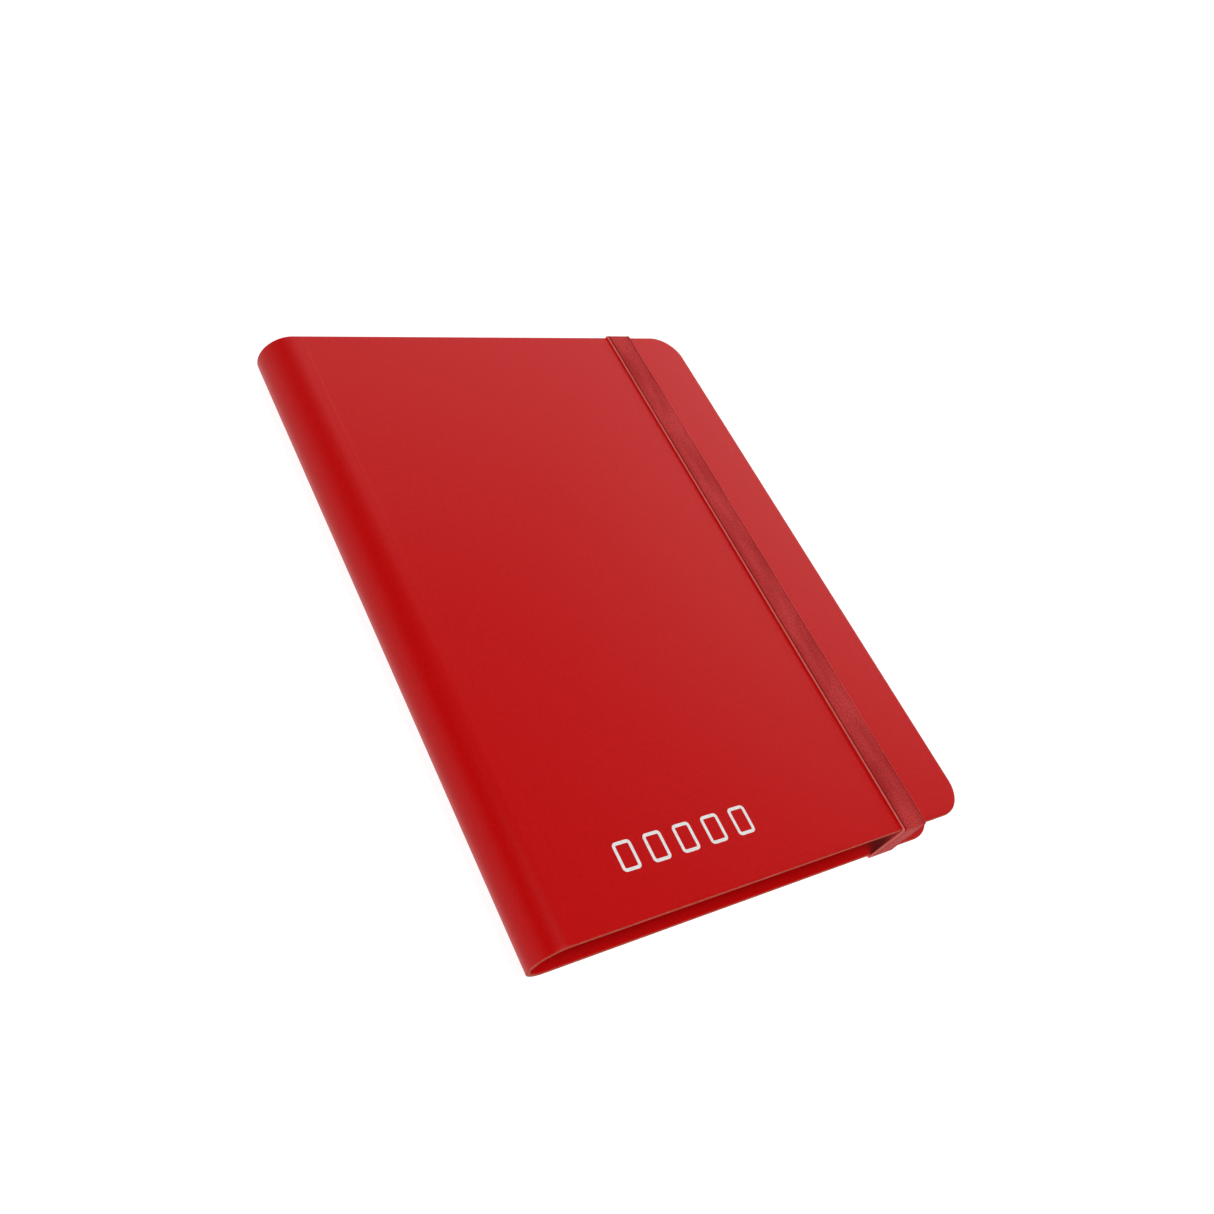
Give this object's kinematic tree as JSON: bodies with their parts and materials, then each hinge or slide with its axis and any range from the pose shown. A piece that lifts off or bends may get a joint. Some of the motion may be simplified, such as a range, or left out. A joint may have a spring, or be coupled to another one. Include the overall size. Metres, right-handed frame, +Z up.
{
  "type": "trading card binder",
  "caption": "Thin card binder: a rolled sheet cover with rounded fore corners, side-loading pocket leaves and a flat elastic closing strap.",
  "frame": {"origin": "centre of the bounding box, on the surface that the closed binder lies on", "axes": "+X from the spine to the fore edge, +Y from the tail to the head, +Z up out of the front cover"},
  "size_m": [0.1912, 0.2428, 0.0228],
  "materials": {
    "cover_sheet": "matte red polypropylene sheet with a very fine grain",
    "page_sheet": "thin red polypropylene, satin",
    "pocket_film": "clear polypropylene film",
    "elastic_strap": "flat knitted elastic, dusty red",
    "strap_clip": "plain crimped steel"
  },
  "bodies": {
    "back": {"back_cover": "cover_sheet", "strap_end_head": "elastic_strap", "strap_end_tail": "elastic_strap", "strap_clip_head": "strap_clip", "strap_clip_tail": "strap_clip"},
    "spine_1": {"spine_1": "cover_sheet"},
    "spine_2": {"spine_2": "cover_sheet"},
    "spine_3": {"spine_3": "cover_sheet", "binding_strip": "page_sheet", "page_margins": "page_sheet"},
    "spine_4": {"spine_4": "cover_sheet"},
    "spine_5": {"spine_5": "cover_sheet"},
    "front": {"front_cover": "cover_sheet"},
    "leaf_01": {"page_01": "page_sheet", "pockets_01": "pocket_film"},
    "leaf_02": {"page_02": "page_sheet", "pockets_02": "pocket_film"},
    "leaf_03": {"page_03": "page_sheet", "pockets_03": "pocket_film"},
    "leaf_04": {"page_04": "page_sheet", "pockets_04": "pocket_film"},
    "leaf_05": {"page_05": "page_sheet", "pockets_05": "pocket_film"},
    "leaf_06": {"page_06": "page_sheet", "pockets_06": "pocket_film"},
    "leaf_07": {"page_07": "page_sheet", "pockets_07": "pocket_film"},
    "leaf_08": {"page_08": "page_sheet", "pockets_08": "pocket_film"},
    "leaf_09": {"page_09": "page_sheet", "pockets_09": "pocket_film"},
    "leaf_10": {"page_10": "page_sheet", "pockets_10": "pocket_film"},
    "leaf_11": {"page_11": "page_sheet", "pockets_11": "pocket_film"},
    "leaf_12": {"page_12": "page_sheet", "pockets_12": "pocket_film"},
    "leaf_13": {"page_13": "page_sheet", "pockets_13": "pocket_film"},
    "leaf_14": {"page_14": "page_sheet", "pockets_14": "pocket_film"},
    "leaf_15": {"page_15": "page_sheet", "pockets_15": "pocket_film"},
    "leaf_16": {"page_16": "page_sheet", "pockets_16": "pocket_film"},
    "leaf_17": {"page_17": "page_sheet", "pockets_17": "pocket_film"},
    "leaf_18": {"page_18": "page_sheet", "pockets_18": "pocket_film"},
    "leaf_19": {"page_19": "page_sheet", "pockets_19": "pocket_film"},
    "leaf_20": {"page_20": "page_sheet", "pockets_20": "pocket_film"},
    "strap": {"strap_front": "elastic_strap", "strap_side_head": "elastic_strap", "strap_side_tail": "elastic_strap"}
  },
  "joints": [
    {"name": "spine_bend_1", "type": "hinge", "parent": "back", "child": "spine_1", "pos_m": [-0.0851, 0, 0.0009], "axis": [0, -1, 0], "range_deg": [0, 18]},
    {"name": "spine_bend_2", "type": "hinge", "parent": "spine_1", "child": "spine_2", "pos_m": [-0.09127, 0, 0.00291], "axis": [0, -1, 0], "range_deg": [0, 36]},
    {"name": "binder_open", "type": "hinge", "parent": "spine_2", "child": "spine_3", "pos_m": [-0.09509, 0, 0.00816], "axis": [0, -1, 0], "range_deg": [0, 36], "deforming": ["page_margins", "strap_side_head", "strap_side_tail", "strap_front"]},
    {"name": "spine_bend_4", "type": "hinge", "parent": "spine_3", "child": "spine_4", "pos_m": [-0.09509, 0, 0.01464], "axis": [0, -1, 0], "range_deg": [0, 36]},
    {"name": "spine_bend_5", "type": "hinge", "parent": "spine_4", "child": "spine_5", "pos_m": [-0.09127, 0, 0.01989], "axis": [0, -1, 0], "range_deg": [0, 36]},
    {"name": "spine_bend_6", "type": "hinge", "parent": "spine_5", "child": "front", "pos_m": [-0.0851, 0, 0.0219], "axis": [0, -1, 0], "range_deg": [0, 18]},
    {"name": "leaf_01_turn", "type": "hinge", "parent": "spine_3", "child": "leaf_01", "pos_m": [-0.0879, 0, 0.008], "axis": [0, -1, 0], "range_deg": [-89.2, 0]},
    {"name": "leaf_02_turn", "type": "hinge", "parent": "spine_3", "child": "leaf_02", "pos_m": [-0.0879, 0, 0.008], "axis": [0, -1, 0], "range_deg": [-88.7, 0]},
    {"name": "leaf_03_turn", "type": "hinge", "parent": "spine_3", "child": "leaf_03", "pos_m": [-0.0879, 0, 0.008], "axis": [0, -1, 0], "range_deg": [-88.2, 0]},
    {"name": "leaf_04_turn", "type": "hinge", "parent": "spine_3", "child": "leaf_04", "pos_m": [-0.0879, 0, 0.008], "axis": [0, -1, 0], "range_deg": [-87.7, 0]},
    {"name": "leaf_05_turn", "type": "hinge", "parent": "spine_3", "child": "leaf_05", "pos_m": [-0.0879, 0, 0.008], "axis": [0, -1, 0], "range_deg": [-87.2, 0]},
    {"name": "leaf_06_turn", "type": "hinge", "parent": "spine_3", "child": "leaf_06", "pos_m": [-0.0879, 0, 0.008], "axis": [0, -1, 0], "range_deg": [-86.7, 0]},
    {"name": "leaf_07_turn", "type": "hinge", "parent": "spine_3", "child": "leaf_07", "pos_m": [-0.0879, 0, 0.008], "axis": [0, -1, 0], "range_deg": [-86.2, 0]},
    {"name": "leaf_08_turn", "type": "hinge", "parent": "spine_3", "child": "leaf_08", "pos_m": [-0.0879, 0, 0.008], "axis": [0, -1, 0], "range_deg": [-85.7, 0]},
    {"name": "leaf_09_turn", "type": "hinge", "parent": "spine_3", "child": "leaf_09", "pos_m": [-0.0879, 0, 0.008], "axis": [0, -1, 0], "range_deg": [-85.2, 0]},
    {"name": "leaf_10_turn", "type": "hinge", "parent": "spine_3", "child": "leaf_10", "pos_m": [-0.0879, 0, 0.008], "axis": [0, -1, 0], "range_deg": [-84.7, 0]},
    {"name": "leaf_11_turn", "type": "hinge", "parent": "spine_3", "child": "leaf_11", "pos_m": [-0.0879, 0, 0.0148], "axis": [0, -1, 0], "range_deg": [0, 84.7]},
    {"name": "leaf_12_turn", "type": "hinge", "parent": "spine_3", "child": "leaf_12", "pos_m": [-0.0879, 0, 0.0148], "axis": [0, -1, 0], "range_deg": [0, 85.2]},
    {"name": "leaf_13_turn", "type": "hinge", "parent": "spine_3", "child": "leaf_13", "pos_m": [-0.0879, 0, 0.0148], "axis": [0, -1, 0], "range_deg": [0, 85.7]},
    {"name": "leaf_14_turn", "type": "hinge", "parent": "spine_3", "child": "leaf_14", "pos_m": [-0.0879, 0, 0.0148], "axis": [0, -1, 0], "range_deg": [0, 86.2]},
    {"name": "leaf_15_turn", "type": "hinge", "parent": "spine_3", "child": "leaf_15", "pos_m": [-0.0879, 0, 0.0148], "axis": [0, -1, 0], "range_deg": [0, 86.7]},
    {"name": "leaf_16_turn", "type": "hinge", "parent": "spine_3", "child": "leaf_16", "pos_m": [-0.0879, 0, 0.0148], "axis": [0, -1, 0], "range_deg": [0, 87.2]},
    {"name": "leaf_17_turn", "type": "hinge", "parent": "spine_3", "child": "leaf_17", "pos_m": [-0.0879, 0, 0.0148], "axis": [0, -1, 0], "range_deg": [0, 87.7]},
    {"name": "leaf_18_turn", "type": "hinge", "parent": "spine_3", "child": "leaf_18", "pos_m": [-0.0879, 0, 0.0148], "axis": [0, -1, 0], "range_deg": [0, 88.2]},
    {"name": "leaf_19_turn", "type": "hinge", "parent": "spine_3", "child": "leaf_19", "pos_m": [-0.0879, 0, 0.0148], "axis": [0, -1, 0], "range_deg": [0, 88.7]},
    {"name": "leaf_20_turn", "type": "hinge", "parent": "spine_3", "child": "leaf_20", "pos_m": [-0.0879, 0, 0.0148], "axis": [0, -1, 0], "range_deg": [0, 89.2]},
    {"name": "strap_release", "type": "slide", "parent": "back", "child": "strap", "axis": [0, 0, -1], "range_m": [0, 0.0219]}
  ],
  "couplings": [
    {"joint": "spine_bend_1", "follows": "binder_open", "ratio": 0.5},
    {"joint": "spine_bend_2", "follows": "binder_open", "ratio": 1},
    {"joint": "spine_bend_4", "follows": "binder_open", "ratio": 1},
    {"joint": "spine_bend_5", "follows": "binder_open", "ratio": 1},
    {"joint": "spine_bend_6", "follows": "binder_open", "ratio": 0.5},
    {"joint": "leaf_01_turn", "follows": "binder_open", "ratio": -2.4778},
    {"joint": "leaf_02_turn", "follows": "binder_open", "ratio": -2.4639},
    {"joint": "leaf_03_turn", "follows": "binder_open", "ratio": -2.45},
    {"joint": "leaf_04_turn", "follows": "binder_open", "ratio": -2.4361},
    {"joint": "leaf_05_turn", "follows": "binder_open", "ratio": -2.4222},
    {"joint": "leaf_06_turn", "follows": "binder_open", "ratio": -2.4083},
    {"joint": "leaf_07_turn", "follows": "binder_open", "ratio": -2.3944},
    {"joint": "leaf_08_turn", "follows": "binder_open", "ratio": -2.3806},
    {"joint": "leaf_09_turn", "follows": "binder_open", "ratio": -2.3667},
    {"joint": "leaf_10_turn", "follows": "binder_open", "ratio": -2.3528},
    {"joint": "leaf_11_turn", "follows": "binder_open", "ratio": 2.3528},
    {"joint": "leaf_12_turn", "follows": "binder_open", "ratio": 2.3667},
    {"joint": "leaf_13_turn", "follows": "binder_open", "ratio": 2.3806},
    {"joint": "leaf_14_turn", "follows": "binder_open", "ratio": 2.3944},
    {"joint": "leaf_15_turn", "follows": "binder_open", "ratio": 2.4083},
    {"joint": "leaf_16_turn", "follows": "binder_open", "ratio": 2.4222},
    {"joint": "leaf_17_turn", "follows": "binder_open", "ratio": 2.4361},
    {"joint": "leaf_18_turn", "follows": "binder_open", "ratio": 2.45},
    {"joint": "leaf_19_turn", "follows": "binder_open", "ratio": 2.4639},
    {"joint": "leaf_20_turn", "follows": "binder_open", "ratio": 2.4778},
    {"joint": "strap_release", "follows": "binder_open", "m_per_rad": 0.034854}
  ]
}
